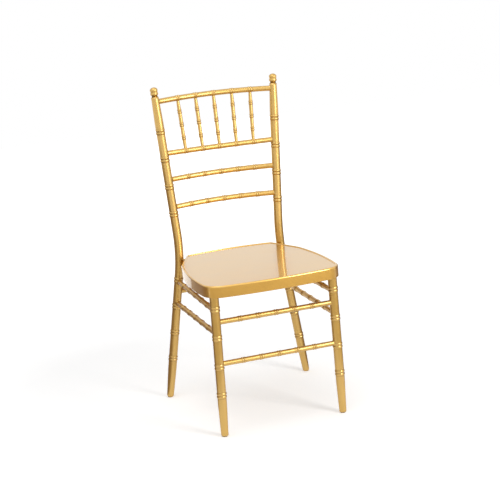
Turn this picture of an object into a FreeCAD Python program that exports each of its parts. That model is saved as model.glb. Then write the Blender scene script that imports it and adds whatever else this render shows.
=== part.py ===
"""Chiavari dining chair of welded steel tube with a one-piece pressed seat pan.

Millimetres, +Z up. The origin is on the floor under the middle of the chair, the sitter
faces -Y, and left and right are those of someone who stands in front of the chair.
"""
import FreeCAD, Part
import Sketcher
import math
import os

Vector = FreeCAD.Vector
UP = Vector(0, 0, 1)
SIDES = {"left": -1, "right": 1}

DRIVING = {
    # overall heights
    "chair_height": 920,
    "seat_height": 425,
    # main tube of the legs and back posts
    "tube_dia": 25,
    "tube_wall": 1.2,
    "foot_dia": 20,
    "foot_taper": 88,
    "foot_round": 2.5,
    "foot_bore": 11,
    "foot_end_wall": 2.5,
    # front legs: half spacing at the floor and at the seat, and distance in front of the origin
    "front_foot_x": 174,
    "front_head_x": 169,
    "front_leg_y": 186.5,
    # back posts: foot, point of the bend and top
    "rear_foot_x": 218,
    "rear_foot_y": 205.5,
    "bend_x": 153,
    "bend_y": 176.5,
    "bend_z": 434,
    "bend_radius": 560,
    "post_top_x": 180,
    "post_top_y": 195.5,
    "post_top_dia": 21,
    "post_taper": 80,
    # pairs of raised rings along the main tubes
    "ring_width": 7.5,
    "ring_rise": 1.3,
    "ring_step": 8.5,
    "ring_pitch": 80,
    "front_ring_start": 118,
    "rear_ring_start": 122.5,
    "top_ring_start": 127,
    # pairs of raised rings along rails, stretchers and spindles
    "small_ring_width": 5.6,
    "small_ring_rise": 1.05,
    "small_ring_step": 6.4,
    "small_ring_round": 0.9,
    # back rails: height at the posts, and how far the middle is bowed to the rear and arched up
    "top_rail_dia": 15.5,
    "rail_dia": 15.5,
    "rail_wall": 1,
    "top_rail_z": 878,
    "top_rail_bow": 20,
    "top_rail_rise": 4.3,
    "top_rail_ring_pitch": 55,
    "spindle_rail_z": 729.5,
    "spindle_rail_bow": 6,
    "spindle_rail_rise": 0.5,
    "upper_slat_z": 653,
    "upper_slat_bow": 20,
    "upper_slat_rise": 1,
    "lower_slat_z": 572.5,
    "lower_slat_bow": 15,
    "lower_slat_rise": 2.9,
    "rail_ring_pitch": 51.5,
    # turned spindles of the back
    "spindle_dia": 11,
    "spindle_end_dia": 8.5,
    # stretchers under the seat
    "stretcher_dia": 14.5,
    "front_upper_z": 321,
    "front_lower_z": 204.5,
    "side_upper_z": 352.5,
    "side_lower_z": 288.5,
    "rear_stretcher_z": 323,
    "side_ring_pitch": 57,
    # seat pan: plan shape
    "seat_front_y": 223,
    "seat_front_bow": 14,
    "seat_front_x": 189,
    "seat_side_bow": 12.5,
    "seat_side_x": 180.5,
    "seat_side_y": 77.5,
    "seat_rear_x": 132.5,
    "seat_rear_y": 204,
    "seat_rear_bow": 15,
    "seat_front_corner": 50,
    "seat_side_corner": 80,
    "seat_rear_corner": 12,
    "seat_oblique_bow": 0.6,
    # seat pan: section
    "pan_thickness": 1.2,
    "skirt_height": 32,
    "rim_width": 8,
    "rim_radius": 4,
    "rim_inner_radius": 1.5,
    "seat_recess": 2,
    # pieces that carry the pan
    "cap_dia": 28,
    "cap_thickness": 3,
    "spacer_dia": 6,
    "spacer_drop": 7,
    "stiffener_width": 30,
    "stiffener_height": 9,
    "stiffener_length": 300,
    "stiffener_y": 95,
    # finials and glides
    "finial_dia": 22,
    "finial_height": 22,
    "finial_ring": 7.5,
    "finial_neck_dia": 20,
    "finial_neck": 1,
    "finial_crown": 8,
    "finial_shoulder": 6,
    "plug_depth": 15,
    "glide_height": 2,
    "glide_depth": 3.6,
    "glide_dia": 15,
    "glide_stem": 14,
    # fits
    "weld_gap": 0.2,
    "plug_clearance": 0.25,
}
RING_PAIRS = 4
RAIL_RING_PAIRS = 5
SPINDLES = 5
SPINDLE_RING_PAIRS = 3
RING_ROOT = 0.4
FLOOR_WIDTH = 600
FLOOR_DEPTH = 50

doc = FreeCAD.newDocument("ChiavariChair")
sheet = doc.addObject("Spreadsheet::Sheet", "Sizes")
known = {}


class Size:
    """A length that carries its number and the formula that gives it from the sheet."""

    def __init__(self, number, formula):
        self.number = number
        self.formula = formula

    def _joined(self, other, sign, number):
        other_formula = other.formula if isinstance(other, Size) else repr(other)
        return Size(number, f"({self.formula} {sign} {other_formula})")

    def __add__(self, other):
        return self._joined(other, "+", self.number + plain(other))

    def __sub__(self, other):
        return self._joined(other, "-", self.number - plain(other))

    def __mul__(self, other):
        return self._joined(other, "*", self.number * plain(other))

    def __truediv__(self, other):
        return self._joined(other, "/", self.number / plain(other))

    def __neg__(self):
        return Size(-self.number, f"(-{self.formula})")


def plain(length):
    """The number of a Size, or a number as it is."""
    return length.number if isinstance(length, Size) else length


def enter(alias, value):
    """Put a length into the sheet and return it as a Size."""
    known[alias] = Size(value, f"Sizes.{alias}")
    cell = f"A{len(known)}"
    sheet.set(cell, str(value))
    sheet.setAlias(cell, alias)
    return known[alias]


def size(alias):
    """The length of that name in the sheet."""
    return known[alias]


def bow_radius(half_chord, bow):
    """Radius of the arc with that half chord and that rise in its middle."""
    return (half_chord * half_chord + bow * bow) / (bow * 2)


for driving_alias, driving_value in DRIVING.items():
    enter(driving_alias, driving_value)
doc.recompute()


# Sketches and turned bodies

def plane_or_axis(body, role):
    return next(item for item in body.Origin.OriginFeatures if item.Role == role)


def new_sketch(body, name, plane):
    sketch = body.newObject("Sketcher::SketchObject", name)
    sketch.AttachmentSupport = [(plane_or_axis(body, plane), "")]
    sketch.MapMode = "FlatFace"
    return sketch


def arc_middle(start, end, radius):
    """Middle of the minor arc that bulges to the right of the way from start to end."""
    chord = end - start
    rise = radius - math.sqrt(radius ** 2 - (chord.Length / 2) ** 2)
    return (start + end) * 0.5 + Vector(chord.y, -chord.x, 0).normalize() * rise


def draw_loop(sketch, points):
    """Close a loop of lines and arcs, with every corner and radius bound to the sheet.

    Each point is (x, y) or (x, y, radius), where the radius makes an arc of the edge that
    leaves the point. A zero coordinate keeps the point on the sketch's axis.
    """
    first = sketch.GeometryCount
    corners = [Vector(plain(point[0]), plain(point[1]), 0) for point in points]
    for index, point in enumerate(points):
        start, end = corners[index], corners[(index + 1) % len(points)]
        if len(point) == 3:
            middle = arc_middle(start, end, plain(point[2]))
            sketch.addGeometry(Part.Arc(start, middle, end))
        else:
            sketch.addGeometry(Part.LineSegment(start, end))
    ends = []
    for index, point in enumerate(points):
        edge = sketch.Geometry[first + index]
        arc = len(point) == 3
        swapped = arc and (edge.StartPoint - corners[index]).Length > (
            edge.EndPoint - corners[index]).Length
        ends.append((2, 1) if swapped else (1, 2))
    for index in range(len(points)):
        following = (index + 1) % len(points)
        sketch.addConstraint(Sketcher.Constraint(
            "Coincident", first + index, ends[index][1], first + following, ends[following][0]))
    for index, point in enumerate(points):
        vertex = (first + index, ends[index][0])
        for kind, axis, length in (("DistanceX", -2, point[0]), ("DistanceY", -1, point[1])):
            if not isinstance(length, Size):
                sketch.addConstraint(Sketcher.Constraint("PointOnObject", *vertex, axis))
                continue
            bind(sketch, Sketcher.Constraint(kind, -1, 1, *vertex, length.number), length)
        if len(point) == 3:
            bind(sketch, Sketcher.Constraint("Radius", first + index, plain(point[2])), point[2])


def bind(sketch, constraint, length):
    """Add a constraint whose value follows the sheet."""
    index = sketch.addConstraint(constraint)
    sketch.setExpression(f"Constraints[{index}]", length.formula)


def revolve(body, name, sketch, reference):
    feature = body.newObject("PartDesign::Revolution", name)
    feature.Profile = sketch
    feature.ReferenceAxis = reference
    return feature


def ring_pair_loops(surface, middle, width, rise, step):
    """Half sections of two raised rings, sunk a little into the tube that carries them."""
    root = surface - RING_ROOT
    radius = bow_radius(width / 2, rise)
    loops = []
    for sign in (-0.5, 0.5):
        low = step * sign + middle - width / 2
        high = step * sign + middle + width / 2
        loops.append([(root, low), (surface, low, radius), (surface, high), (root, high)])
    return loops


def add_rings(body, surface, first, pitch, count, small, skin=None):
    """A pattern of ring pairs along the body's own Z axis."""
    kind = "small_ring" if small else "ring"
    rise = size(kind + "_rise")
    surface = surface + skin if skin else surface
    sketch = new_sketch(body, body.Name + "_ring_section", "XZ_Plane")
    for loop in ring_pair_loops(surface, first, size(kind + "_width"), rise, size(kind + "_step")):
        draw_loop(sketch, loop)
    rings = revolve(body, body.Name + "_ring_pair", sketch, (sketch, ["V_Axis"]))
    pattern = body.newObject("PartDesign::LinearPattern", body.Name + "_rings")
    pattern.Originals = [rings]
    pattern.Direction = (plane_or_axis(body, "Z_Axis"), [""])
    pattern.Occurrences = count
    pattern.setExpression("Length", (pitch * (count - 1)).formula)
    body.Tip = pattern


def fillet(body, name, base, edges, radius):
    feature = body.newObject("PartDesign::Fillet", name)
    feature.Base = (base, edges)
    feature.setExpression("Radius", radius.formula)
    doc.recompute([feature])
    return feature


def turned_body(name, profile, placement):
    """A body turned about its own Z axis from a closed half section of (radius, height)."""
    body = doc.addObject("PartDesign::Body", name)
    sketch = new_sketch(body, name + "_section", "XZ_Plane")
    draw_loop(sketch, profile)
    revolve(body, name + "_turned", sketch, (sketch, ["V_Axis"]))
    body.Placement = placement
    return body


def along(origin, direction):
    """Placement whose own Z axis starts at origin and runs along direction."""
    return FreeCAD.Placement(origin, FreeCAD.Rotation(UP, direction))


def cut(name, base, tool):
    result = doc.addObject("Part::Cut", name)
    result.Base = base
    result.Tool = tool
    return result


def together(name, shapes):
    """Several cutters that act as one tool."""
    group = doc.addObject("Part::Compound", name)
    group.Links = shapes
    return group


def fuse(name, shapes):
    result = doc.addObject("Part::MultiFuse", name)
    result.Shapes = shapes
    result.Refine = True
    return result


# Where the legs and posts run

def mirrored(point, side):
    return Vector(point.x * side, point.y, point.z)


def at_height(start, end, height):
    return start + (end - start) * ((height - start.z) / (end.z - start.z))


def place(*lengths):
    return Vector(*[plain(length) for length in lengths])


FRONT_FOOT = place(size("front_foot_x"), -size("front_leg_y"), size("glide_height"))
FRONT_HEAD = place(size("front_head_x"), -size("front_leg_y"), size("seat_height"))
REAR_FOOT = place(size("rear_foot_x"), size("rear_foot_y"), size("glide_height"))
BEND = place(size("bend_x"), size("bend_y"), size("bend_z"))
POST_TOP = place(size("post_top_x"), size("post_top_y"), size("chair_height"))
LOWER_WAY = (BEND - REAR_FOOT).normalize()
UPPER_WAY = (POST_TOP - BEND).normalize()
BEND_ANGLE = LOWER_WAY.getAngle(UPPER_WAY)
BEND_RADIUS = plain(size("bend_radius"))
ELBOW_CENTRE = BEND + (UPPER_WAY - LOWER_WAY).normalize() * (
    BEND_RADIUS / math.cos(BEND_ANGLE / 2))
LOWER_END = BEND - LOWER_WAY * (BEND_RADIUS * math.tan(BEND_ANGLE / 2))
UPPER_START = BEND + UPPER_WAY * (BEND_RADIUS * math.tan(BEND_ANGLE / 2))
LEG_RUN = enter("rear_leg_run", (LOWER_END - REAR_FOOT).Length)
POST_RUN = enter("post_run", (POST_TOP - UPPER_START).Length)


def post_axis_at(height):
    """Point of a right-hand post's axis at that height, on the elbow or the straight runs."""
    if height <= LOWER_END.z:
        return at_height(REAR_FOOT, LOWER_END, height)
    if height >= UPPER_START.z:
        return at_height(UPPER_START, POST_TOP, height)
    spoke = LOWER_END - ELBOW_CENTRE
    turn_axis = spoke.cross(LOWER_WAY)
    low, high = 0.0, math.degrees(BEND_ANGLE)
    for _ in range(40):
        middle = (low + high) / 2
        point = ELBOW_CENTRE + FreeCAD.Rotation(turn_axis, middle).multVec(spoke)
        if point.z < height:
            low = middle
        else:
            high = middle
    return point


# Legs and posts

def leg_profile(length, skin=None):
    """Half section of a leg tube with its tapered, rounded foot; skin makes it a solid cutter."""
    tube, foot, wall = size("tube_dia") / 2, size("foot_dia") / 2, size("tube_wall")
    taper, rounding = size("foot_taper"), size("foot_round")
    bore, end_wall = size("foot_bore") / 2, size("foot_end_wall")
    if skin:
        return [(0, 0), (foot + skin, 0), (tube + skin, taper), (tube + skin, length), (0, length)]
    return [
        (bore, 0), (foot - rounding, 0, rounding), (foot, rounding), (tube, taper),
        (tube, length), (tube - wall, length), (tube - wall, taper), (foot - wall, end_wall),
        (bore, end_wall),
    ]


def straight_leg(name, foot, way, length, ring_start, skin=None):
    """A leg tube from its foot upwards, with its pattern of ring pairs."""
    body = turned_body(name, leg_profile(length, skin), along(foot, way))
    add_rings(body, size("tube_dia") / 2, ring_start - size("glide_height"),
              size("ring_pitch"), RING_PAIRS, small=False, skin=skin)
    return body


def post_upper(name, start, way, skin=None):
    """The run of a back post above its bend, drawn in towards the finial."""
    tube, top, wall = size("tube_dia") / 2, size("post_top_dia") / 2, size("tube_wall")
    length = POST_RUN - size("finial_height")
    taper = length - size("post_taper")
    if skin:
        profile = [(0, 0), (tube + skin, 0), (tube + skin, taper), (top + skin, length),
                   (0, length)]
    else:
        profile = [(tube, 0), (tube, taper), (top, length), (top - wall, length),
                   (tube - wall, taper), (tube - wall, 0)]
    body = turned_body(name, profile, along(start, way))
    lowest = POST_RUN - size("top_ring_start") - size("ring_pitch") * (RING_PAIRS - 1)
    add_rings(body, tube, lowest, size("ring_pitch"), RING_PAIRS, small=False, skin=skin)
    return body


def elbow(name, side, radius):
    """A stretch of torus that joins the two straight runs of a post."""
    spoke = mirrored(LOWER_END - ELBOW_CENTRE, side)
    way = mirrored(LOWER_WAY, side)
    torus = doc.addObject("Part::Torus", name)
    torus.setExpression("Radius1", size("bend_radius").formula)
    torus.setExpression("Radius2", radius.formula)
    torus.Angle3 = math.degrees(BEND_ANGLE)
    torus.Placement = FreeCAD.Placement(
        mirrored(ELBOW_CENTRE, side), FreeCAD.Rotation(spoke, way, spoke.cross(way), "XYZ"))
    return torus


def post_runs(name, side, skin=None):
    """The two straight runs of a back post, as tubes or as solid cutters."""
    lower = straight_leg(name + "_leg", mirrored(REAR_FOOT, side), mirrored(LOWER_WAY, side),
                         LEG_RUN, size("rear_ring_start"), skin)
    upper = post_upper(name + "_upper", mirrored(UPPER_START, side), mirrored(UPPER_WAY, side),
                       skin)
    return lower, upper


def back_post(name, side):
    """Foot, rear leg, bend and back post in one length of tube."""
    lower, upper = post_runs(name, side)
    outer = size("tube_dia") / 2
    bend = cut(name + "_elbow", elbow(name + "_elbow_outer", side, outer),
               elbow(name + "_elbow_bore", side, outer - size("tube_wall")))
    return fuse(name, [lower, bend, upper])


def front_leg(name, side, skin=None):
    way = (FRONT_HEAD - FRONT_FOOT).normalize()
    length = (size("seat_height") - size("seat_recess") - size("pan_thickness")
              - size("cap_thickness") - size("weld_gap") * 2 - size("glide_height"))
    return straight_leg(name, mirrored(FRONT_FOOT, side), mirrored(way, side), length,
                        size("front_ring_start"), skin)


pieces = []
rear_leg_cutters = {}
front_leg_cutters = {}
post_cutters = []
elbow_cutters = []
for side_name, side in SIDES.items():
    gap = size("weld_gap")
    pieces.append(back_post(f"back_post_{side_name}", side))
    pieces.append(front_leg(f"front_leg_{side_name}", side))
    front_leg_cutters[side] = front_leg(f"front_leg_cutter_{side_name}", side, gap)
    rear_leg_cutters[side], post_cutter = post_runs(f"post_cutter_{side_name}", side, gap)
    post_cutters.append(post_cutter)
    elbow_cutters.append(elbow(f"elbow_cutter_{side_name}", side, size("tube_dia") / 2 + gap))
posts = together("post_cutters", post_cutters)


# Straight stretchers, coped to the legs they are welded to

def stretcher(name, start, end, pitch, cutters):
    length = enter(name + "_run", (end - start).Length)
    outer = size("stretcher_dia") / 2
    bore = outer - size("rail_wall")
    profile = [(bore, 0), (outer, 0), (outer, length), (bore, length)]
    body = turned_body(name + "_tube", profile, along(start, end - start))
    first = length / 2 - pitch * ((RAIL_RING_PAIRS - 1) / 2)
    add_rings(body, outer, first, pitch, RAIL_RING_PAIRS, small=True)
    pieces.append(cut(name, body, cutters))


def rear_leg_at(height, side):
    return mirrored(post_axis_at(height), side)


def front_leg_at(height, side):
    return mirrored(at_height(FRONT_FOOT, FRONT_HEAD, height), side)


front_pair = together("front_leg_pair_cutters", list(front_leg_cutters.values()))
rear_pair = together("rear_leg_pair_cutters", list(rear_leg_cutters.values()))
for level in ("upper", "lower"):
    height = plain(size(f"front_{level}_z"))
    stretcher(f"front_stretcher_{level}", front_leg_at(height, -1), front_leg_at(height, 1),
              size("rail_ring_pitch"), front_pair)
height = plain(size("rear_stretcher_z"))
stretcher("rear_stretcher", rear_leg_at(height, -1), rear_leg_at(height, 1),
          size("rail_ring_pitch"), rear_pair)
for side_name, side in SIDES.items():
    side_pair = together(f"{side_name}_leg_pair_cutters",
                         [front_leg_cutters[side], rear_leg_cutters[side]])
    for level in ("upper", "lower"):
        height = plain(size(f"side_{level}_z"))
        stretcher(f"side_stretcher_{level}_{side_name}", front_leg_at(height, side),
                  rear_leg_at(height, side), size("side_ring_pitch"), side_pair)


# Bowed back rails, each a stretch of torus about an axis in front of the chair

class Rail:
    """Where a bowed rail runs between the posts.

    Its bow lies in one plane, tipped up so that the middle is both behind and above the ends.
    """

    def __init__(self, kind, diameter):
        self.diameter = size(diameter)
        bow, rise = size(kind + "_bow"), size(kind + "_rise")
        end = post_axis_at(plain(size(kind + "_z")))
        half_span = enter(kind + "_half_span", end.x)
        sag = enter(kind + "_sag", math.hypot(bow.number, rise.number))
        self.radius = bow_radius(half_span, sag)
        self.half_length = math.asin(end.x / self.radius.number) * self.radius.number
        self.tip = FreeCAD.Rotation(Vector(1, 0, 0), math.degrees(math.atan2(
            rise.number, bow.number)))
        self.backward = self.tip.multVec(Vector(0, 1, 0))
        self.centre = Vector(0, end.y, end.z) + self.backward * (sag - self.radius).number

    def point(self, arc_length):
        """Point of the rail's axis at that distance from its middle."""
        turn = arc_length / self.radius.number
        outward = Vector(math.sin(turn), 0, 0) + self.backward * math.cos(turn)
        return self.centre + outward * self.radius.number


def sweep_annulus(body, name, rail, outer, inner, middle, length):
    """Sweep a tube section round the rail's bow, over a length about the given middle."""
    section = new_sketch(body, name + "_section", "XZ_Plane")
    turn = math.degrees(middle / rail.radius.number)
    section.AttachmentOffset = FreeCAD.Placement(
        Vector(), FreeCAD.Rotation(Vector(0, 1, 0), turn))
    for radius in (outer, inner):
        circle = section.addGeometry(Part.Circle(
            Vector(rail.radius.number, 0, 0), UP, radius.number))
        section.addConstraint(Sketcher.Constraint("PointOnObject", circle, 3, -1))
        bind(section, Sketcher.Constraint("DistanceX", -1, 1, circle, 3, rail.radius.number),
             rail.radius)
        bind(section, Sketcher.Constraint("Radius", circle, radius.number), radius)
    swept = revolve(body, name, section, (section, ["V_Axis"]))
    swept.Angle = math.degrees(length / rail.radius.number)
    swept.Midplane = True
    return swept


def bowed_rail(name, rail, pitch):
    """A bowed tube with ring pairs that follow its bow, coped to the posts."""
    outer = rail.diameter / 2
    crest = outer + size("small_ring_rise")
    body = doc.addObject("PartDesign::Body", name + "_tube")
    sweep_annulus(body, name + "_swept", rail, outer, outer - size("rail_wall"), 0,
                  2 * rail.half_length)
    first = -pitch.number * (RAIL_RING_PAIRS - 1) / 2
    rings = [
        sweep_annulus(body, f"{name}_ring_{end}", rail, crest, outer - RING_ROOT,
                      first + size("small_ring_step").number * offset,
                      size("small_ring_width").number)
        for end, offset in (("left", -0.5), ("right", 0.5))
    ]
    pattern = body.newObject("PartDesign::PolarPattern", name + "_rings")
    pattern.Originals = rings
    pattern.Axis = (plane_or_axis(body, "Z_Axis"), [""])
    pattern.Occurrences = RAIL_RING_PAIRS
    pattern.Angle = math.degrees(-2 * first / rail.radius.number)
    body.Tip = pattern
    doc.recompute([pattern])
    crests = [f"Edge{number}" for number, edge in enumerate(pattern.Shape.Edges, start=1)
              if isinstance(edge.Curve, Part.Circle)
              and abs(edge.Curve.Radius - crest.number) < 0.001]
    fillet(body, name + "_crests", pattern, crests, size("small_ring_round"))
    body.Placement = FreeCAD.Placement(rail.centre, rail.tip * FreeCAD.Rotation(UP, 90))
    pieces.append(cut(name, body, posts))


def rail_cutter(name, rail):
    """A full torus round the rail and its rings, which the spindles' ends are coped to."""
    torus = doc.addObject("Part::Torus", name)
    torus.setExpression("Radius1", rail.radius.formula)
    torus.setExpression(
        "Radius2", (rail.diameter / 2 + size("small_ring_rise") + size("weld_gap")).formula)
    torus.Placement = FreeCAD.Placement(rail.centre, rail.tip)
    return torus


top_rail = Rail("top_rail", "top_rail_dia")
spindle_rail = Rail("spindle_rail", "rail_dia")
bowed_rail("top_rail", top_rail, size("top_rail_ring_pitch"))
bowed_rail("spindle_rail", spindle_rail, size("rail_ring_pitch"))
bowed_rail("upper_slat_rail", Rail("upper_slat", "rail_dia"), size("rail_ring_pitch"))
bowed_rail("lower_slat_rail", Rail("lower_slat", "rail_dia"), size("rail_ring_pitch"))


# Turned spindles between the two upper rails, one at each ring pair

rail_cutters = together("rail_cutters", [rail_cutter("top_rail_cutter", top_rail),
                                         rail_cutter("spindle_rail_cutter", spindle_rail)])
for index in range(SPINDLES):
    offset = index - (SPINDLES - 1) / 2
    foot = spindle_rail.point(offset * plain(size("rail_ring_pitch")))
    head = top_rail.point(offset * plain(size("top_rail_ring_pitch")))
    length = enter(f"spindle_{index + 1}_run", (head - foot).Length)
    thick, thin = size("spindle_dia") / 2, size("spindle_end_dia") / 2
    profile = [(0, 0), (thin, 0), (thick, length / 4), (thick, length * 0.75), (thin, length),
               (0, length)]
    body = turned_body(f"spindle_{index + 1}_turning", profile, along(foot, head - foot))
    add_rings(body, thick, length / 4, length / 4, SPINDLE_RING_PAIRS, small=True)
    pieces.append(cut(f"spindle_{index + 1}", body, rail_cutters))


# Seat pan, pressed from one sheet: a shell open below, with a raised rim and a recess

def pan_corners():
    """Sharp corners of the plan, anticlockwise from the front left one.

    Each has its place, its rounding and the bow of the edge that leaves it.
    """
    front = (size("seat_front_x"), -(size("seat_front_y") - size("seat_front_bow")))
    side = (size("seat_side_x"), size("seat_side_y"))
    rear = (size("seat_rear_x"), size("seat_rear_y") - size("seat_rear_bow"))
    front_round, side_round, rear_round = (
        size("seat_front_corner"), size("seat_side_corner"), size("seat_rear_corner"))
    corners = [
        (-front[0], front[1], front_round, size("seat_front_bow")),
        (front[0], front[1], front_round, size("seat_side_bow")),
        (side[0], side[1], side_round, size("seat_oblique_bow")),
        (rear[0], rear[1], rear_round, size("seat_rear_bow")),
        (-rear[0], rear[1], rear_round, size("seat_oblique_bow")),
        (-side[0], side[1], side_round, size("seat_side_bow")),
    ]
    return [(place(x, y, 0), plain(rounding), plain(bow)) for x, y, rounding, bow in corners]


def edge_circle(start, end, bow):
    """Centre and radius of the arc from start to end that bulges to the right by bow."""
    chord = end - start
    radius = bow_radius(chord.Length / 2, bow)
    right = Vector(chord.y, -chord.x, 0).normalize()
    return (start + end) * 0.5 - right * (radius - bow), radius


def crossing(first, first_radius, second, second_radius, near):
    """The crossing of two circles that is nearer to the given point."""
    way = second - first
    reach = way.Length
    forward = (first_radius ** 2 - second_radius ** 2 + reach ** 2) / (2 * reach)
    aside = math.sqrt(first_radius ** 2 - forward ** 2)
    way.normalize()
    normal = Vector(-way.y, way.x, 0)
    return min((first + way * forward + normal * aside * sign for sign in (-1, 1)),
               key=lambda point: (point - near).Length)


def pan_plan(name, inset):
    """The plan drawn in by inset: bowed edges joined by tangent corner arcs."""
    corners = pan_corners()
    circles = [edge_circle(corner[0], corners[(index + 1) % len(corners)][0], corner[2])
               for index, corner in enumerate(corners)]
    loop = []
    for index, (point, rounding, _) in enumerate(corners):
        before, after = circles[index - 1], circles[index]
        centre = crossing(before[0], before[1] - rounding, after[0], after[1] - rounding, point)
        for part, circle, radius in (("first", before, rounding), ("second", after, after[1])):
            tangent = circle[0] + (centre - circle[0]).normalize() * (circle[1] - inset.number)
            key = f"{name}_corner_{index}_{part}"
            loop.append((enter(key + "_across", tangent.x), enter(key + "_deep", tangent.y),
                         enter(key + "_radius", radius) - inset))
    return loop


def level_edges(shape, height, outside):
    """Names of the flat-lying edges at that height, on the outer rim or round the recess."""
    top = next(face for face in shape.Faces if face.BoundBox.ZMin > height - 0.05)
    names = []
    for number, edge in enumerate(shape.Edges, start=1):
        outer = any(edge.isSame(other) for other in top.OuterWire.Edges)
        if edge.BoundBox.ZMin > height - 0.05 and outer == outside:
            names.append(f"Edge{number}")
    return names


def pan_blank(name, inset, height, rim_radius, inner_radius=None):
    """A solid of the pan's shape with its recess, as the sheet's outer or inner side."""
    body = doc.addObject("PartDesign::Body", name)
    plan = new_sketch(body, name + "_plan", "XY_Plane")
    rim_plan = new_sketch(body, name + "_rim_plan", "XY_Plane")
    rim_plan.setExpression("AttachmentOffset.Base.z", height.formula)
    rim = size("rim_width") - inset
    draw_loop(plan, pan_plan(name, inset))
    draw_loop(rim_plan, pan_plan(name + "_rim", rim))
    block = body.newObject("PartDesign::Pad", name + "_block")
    block.Profile = plan
    block.setExpression("Length", height.formula)
    recess = body.newObject("PartDesign::Pocket", name + "_recess")
    recess.Profile = rim_plan
    recess.setExpression("Length", size("seat_recess").formula)
    doc.recompute([recess])
    if recess.Shape.Volume > block.Shape.Volume - 1000:
        raise RuntimeError(f"the recess of {name} removes nothing")
    shaped = fillet(body, name + "_outer_rim", recess,
                    level_edges(recess.Shape, height.number, True), rim_radius)
    if inner_radius:
        shaped = fillet(body, name + "_inner_rim", shaped,
                        level_edges(shaped.Shape, height.number, False), inner_radius)
    body.setExpression("Placement.Base.z", (size("seat_height") - size("skirt_height")).formula)
    return body


pan_outer = pan_blank("pan_outer", enter("pan_outer_inset", 0), size("skirt_height"),
                      size("rim_radius"), size("rim_inner_radius"))
pan_inner = pan_blank("pan_inner", size("pan_thickness"),
                      size("skirt_height") - size("pan_thickness"),
                      size("rim_radius") - size("pan_thickness"))
pieces.append(cut("seat_pan", pan_outer, pan_inner))


# What carries the pan: discs on the front legs, pins from the posts, channels underneath

underside = size("seat_height") - size("seat_recess") - size("pan_thickness") - size("weld_gap")
pin_cutters = together("pin_cutters", [*elbow_cutters, pan_outer])


def disc_profile(radius, thickness):
    return [(0, 0), (radius, 0), (radius, thickness), (0, thickness)]


for side_name, side in SIDES.items():
    disc_base = front_leg_at((underside - size("cap_thickness")).number, side)
    pieces.append(turned_body(f"front_leg_cap_{side_name}",
                              disc_profile(size("cap_dia") / 2, size("cap_thickness")),
                              along(disc_base, UP)))
    pin_start = rear_leg_at((size("seat_height") - size("spacer_drop")).number, side)
    pin_way = Vector(-pin_start.x, -pin_start.y, 0)
    pin = turned_body(f"seat_spacer_{side_name}_pin",
                      disc_profile(size("spacer_dia") / 2, size("tube_dia")),
                      along(pin_start, pin_way))
    pieces.append(cut(f"seat_spacer_{side_name}", pin, pin_cutters))

for end_name, end in (("front", -1), ("rear", 1)):
    stiffener = doc.addObject("PartDesign::Body", f"seat_stiffener_{end_name}")
    section = new_sketch(stiffener, f"stiffener_section_{end_name}", "YZ_Plane")
    half, deep, sheet_metal = (
        size("stiffener_width") / 2, size("stiffener_height"), size("pan_thickness"))
    draw_loop(section, [
        (-half, -deep), (sheet_metal - half, -deep), (sheet_metal - half, -sheet_metal),
        (half - sheet_metal, -sheet_metal), (half - sheet_metal, -deep), (half, -deep),
        (half, 0), (-half, 0),
    ])
    folded = stiffener.newObject("PartDesign::Pad", f"stiffener_folded_{end_name}")
    folded.Profile = section
    folded.Midplane = True
    folded.setExpression("Length", size("stiffener_length").formula)
    stiffener.Placement = along(place(0, size("stiffener_y") * end, underside), UP)
    pieces.append(stiffener)


# Finials on the posts: plug, rounded ring, waist and flat-topped cap, all turned in one

neck, cap = size("finial_neck_dia") / 2, size("finial_dia") / 2
plug = size("post_top_dia") / 2 - size("tube_wall") - size("plug_clearance")
ring_top = size("finial_ring")
cap_base = ring_top + size("finial_neck")
crown, shoulder = size("finial_crown"), size("finial_shoulder")
cap_side = size("finial_height") - crown
shoulder_x = cap - shoulder
crown_radius = (crown * crown + shoulder_x * shoulder_x - shoulder * shoulder) / (
    (crown - shoulder) * 2)
share = shoulder / (crown_radius - shoulder)
finial_profile = [
    (0, -size("plug_depth")), (plug, -size("plug_depth")), (plug, 0),
    (size("post_top_dia") / 2, 0, bow_radius(ring_top / 2, cap - neck)), (neck, ring_top),
    (neck, cap_base, bow_radius(cap_side - cap_base, cap - neck)), (cap, cap_side, shoulder),
    (shoulder_x * (share + 1), (crown_radius - crown) * share + cap_side, crown_radius),
    (0, size("finial_height")),
]
for side_name, side in SIDES.items():
    base = mirrored(POST_TOP - UPPER_WAY * plain(size("finial_height")), side)
    pieces.append(turned_body(f"finial_{side_name}", finial_profile,
                              along(base, mirrored(UPPER_WAY, side))))


# Glides: a stem in the foot and a pad that is flat on the floor under the leaning foot

floor = doc.addObject("Part::Box", "floor_block")
floor.Length = floor.Width = FLOOR_WIDTH
floor.Height = FLOOR_DEPTH
floor.Placement.Base = Vector(-FLOOR_WIDTH / 2, -FLOOR_WIDTH / 2, -FLOOR_DEPTH)
pad, stem = size("glide_dia") / 2, size("foot_bore") / 2 - size("plug_clearance")
pad_depth, stem_length = size("glide_depth"), size("glide_stem")
glide_profile = [
    (0, -pad_depth), (pad, -pad_depth), (pad, 0), (stem, 0), (stem, stem_length),
    (0, stem_length),
]
for end_name, foot, way in (("front", FRONT_FOOT, (FRONT_HEAD - FRONT_FOOT).normalize()),
                            ("rear", REAR_FOOT, LOWER_WAY)):
    for side_name, side in SIDES.items():
        name = f"foot_glide_{end_name}_{side_name}"
        moulded = turned_body(name + "_moulding", glide_profile,
                              along(mirrored(foot, side), mirrored(way, side)))
        pieces.append(cut(name, moulded, floor))


# Check every object and write every piece

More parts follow.
